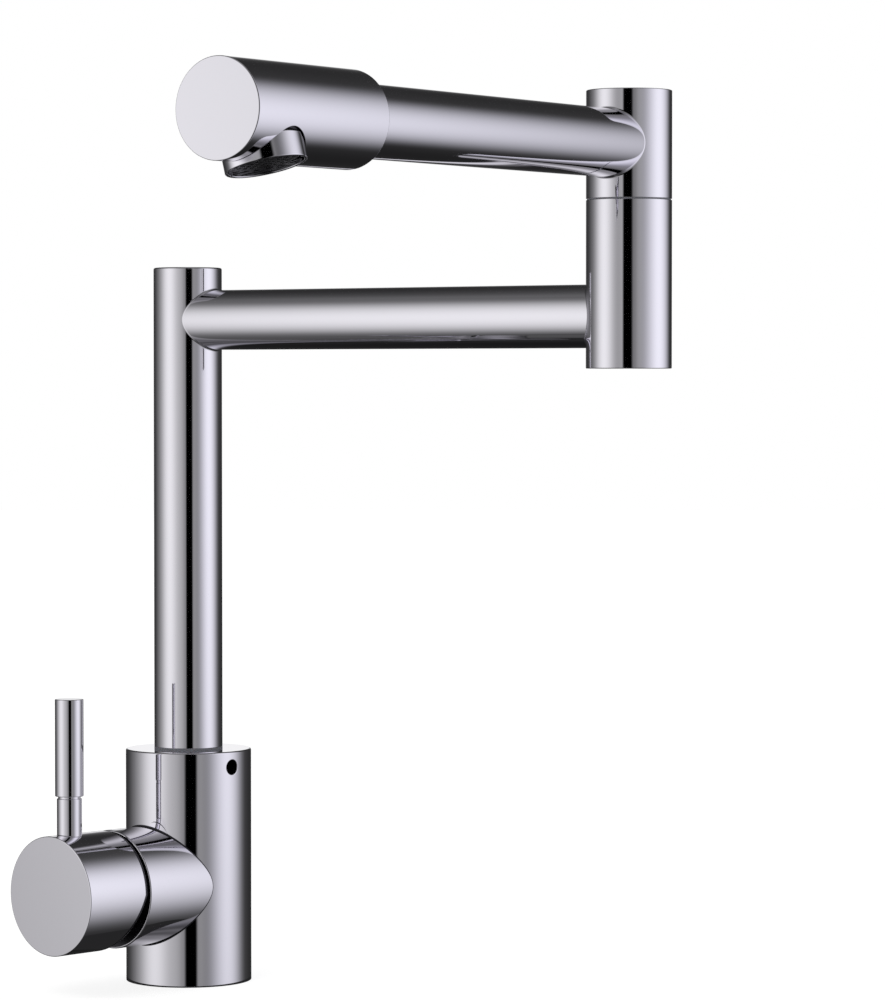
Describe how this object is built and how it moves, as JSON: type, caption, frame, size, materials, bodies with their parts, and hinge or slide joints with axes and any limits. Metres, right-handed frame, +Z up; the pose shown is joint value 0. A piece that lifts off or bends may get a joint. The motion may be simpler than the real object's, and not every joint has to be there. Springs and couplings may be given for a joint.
{
  "type": "kitchen mixer tap",
  "caption": "Deck-mounted single-lever mixer tap: round body with a side lever boss, a slim column, and a two-arm folding spout joined by an upright elbow and ending in a turnable outlet head.",
  "frame": {"origin": "centre of the body's underside, on the worktop's top face", "axes": "+Z up along the column; -X towards the lever boss; -Y towards the column's set screw; the lower arm is stored near -Y and the upper arm near -X"},
  "size_m": [0.2778, 0.2975, 0.4152],
  "materials": {
    "polished_chrome": "polished chrome plate",
    "turned_brass": "turned",
    "stainless_steel": "bright",
    "black_rubber": "matt",
    "grey_nylon": "moulded",
    "cartridge_plastic": "moulded",
    "alumina_disc": "lapped",
    "aerator_plastic": "moulded"
  },
  "bodies": {
    "base": {"valve_body": "polished_chrome", "lever_boss": "polished_chrome", "base_gasket": "black_rubber", "mounting_shank": "turned_brass", "clamp_rubber": "black_rubber", "clamp_washer": "stainless_steel", "lock_nut": "turned_brass", "column_set_screw": "stainless_steel", "cartridge_base": "cartridge_plastic", "port_seals": "black_rubber", "cartridge_housing": "cartridge_plastic", "fixed_disc": "alumina_disc", "collar_nut": "turned_brass"},
    "column": {"column_tube": "polished_chrome", "column_plug": "polished_chrome", "column_spigot": "turned_brass", "column_o_rings": "black_rubber", "column_slip_ring": "grey_nylon", "lower_arm": "polished_chrome", "elbow_post": "polished_chrome", "elbow_plug": "polished_chrome"},
    "spout": {"elbow_spigot": "turned_brass", "elbow_o_rings": "black_rubber", "elbow_washer": "grey_nylon", "elbow_clip": "stainless_steel", "seam_washer": "grey_nylon", "upper_post": "polished_chrome", "upper_plug": "polished_chrome", "upper_arm": "polished_chrome", "head_spigot": "turned_brass", "head_o_rings": "black_rubber"},
    "head": {"head_shell": "polished_chrome", "head_rear_ring": "polished_chrome", "head_core": "turned_brass", "head_screws": "stainless_steel", "aerator_washer": "black_rubber", "aerator_cup": "polished_chrome", "aerator_insert": "aerator_plastic"},
    "mixer": {"turning_guide": "cartridge_plastic", "pivot_pin": "stainless_steel"},
    "handle": {"lever_stem": "stainless_steel", "handle_cap": "polished_chrome", "grub_screw": "stainless_steel", "lever_neck": "polished_chrome", "lever_grip": "polished_chrome", "lever_stud": "stainless_steel"},
    "disc": {"moving_disc": "alumina_disc", "disc_carrier": "cartridge_plastic"}
  },
  "joints": [
    {"name": "column_swivel", "type": "hinge", "parent": "base", "child": "column", "pos_m": [0, 0, 0.0955], "axis": [0, 0, 1], "continuous": true},
    {"name": "elbow_swivel", "type": "hinge", "parent": "column", "child": "spout", "pos_m": [0.02873, -0.21247, 0.3155], "axis": [0, 0, 1], "continuous": true},
    {"name": "head_turn", "type": "hinge", "parent": "spout", "child": "head", "pos_m": [0.02873, -0.21247, 0.3366], "axis": [-0.9874, -0.1582, 0], "range_deg": [-58, 32]},
    {"name": "mixing_turn", "type": "hinge", "parent": "base", "child": "mixer", "pos_m": [-0.0449, 0, 0.041], "axis": [-1, 0, 0], "range_deg": [-50, 50]},
    {"name": "lever_lift", "type": "hinge", "parent": "mixer", "child": "handle", "pos_m": [-0.0449, 0, 0.041], "axis": [0, -1, 0], "range_deg": [0, 20]},
    {"name": "disc_slide", "type": "slide", "parent": "mixer", "child": "disc", "axis": [0, 0, 1], "range_m": [0, 0.0048]}
  ],
  "couplings": [
    {"joint": "disc_slide", "follows": "lever_lift", "m_per_rad": 0.013619}
  ]
}
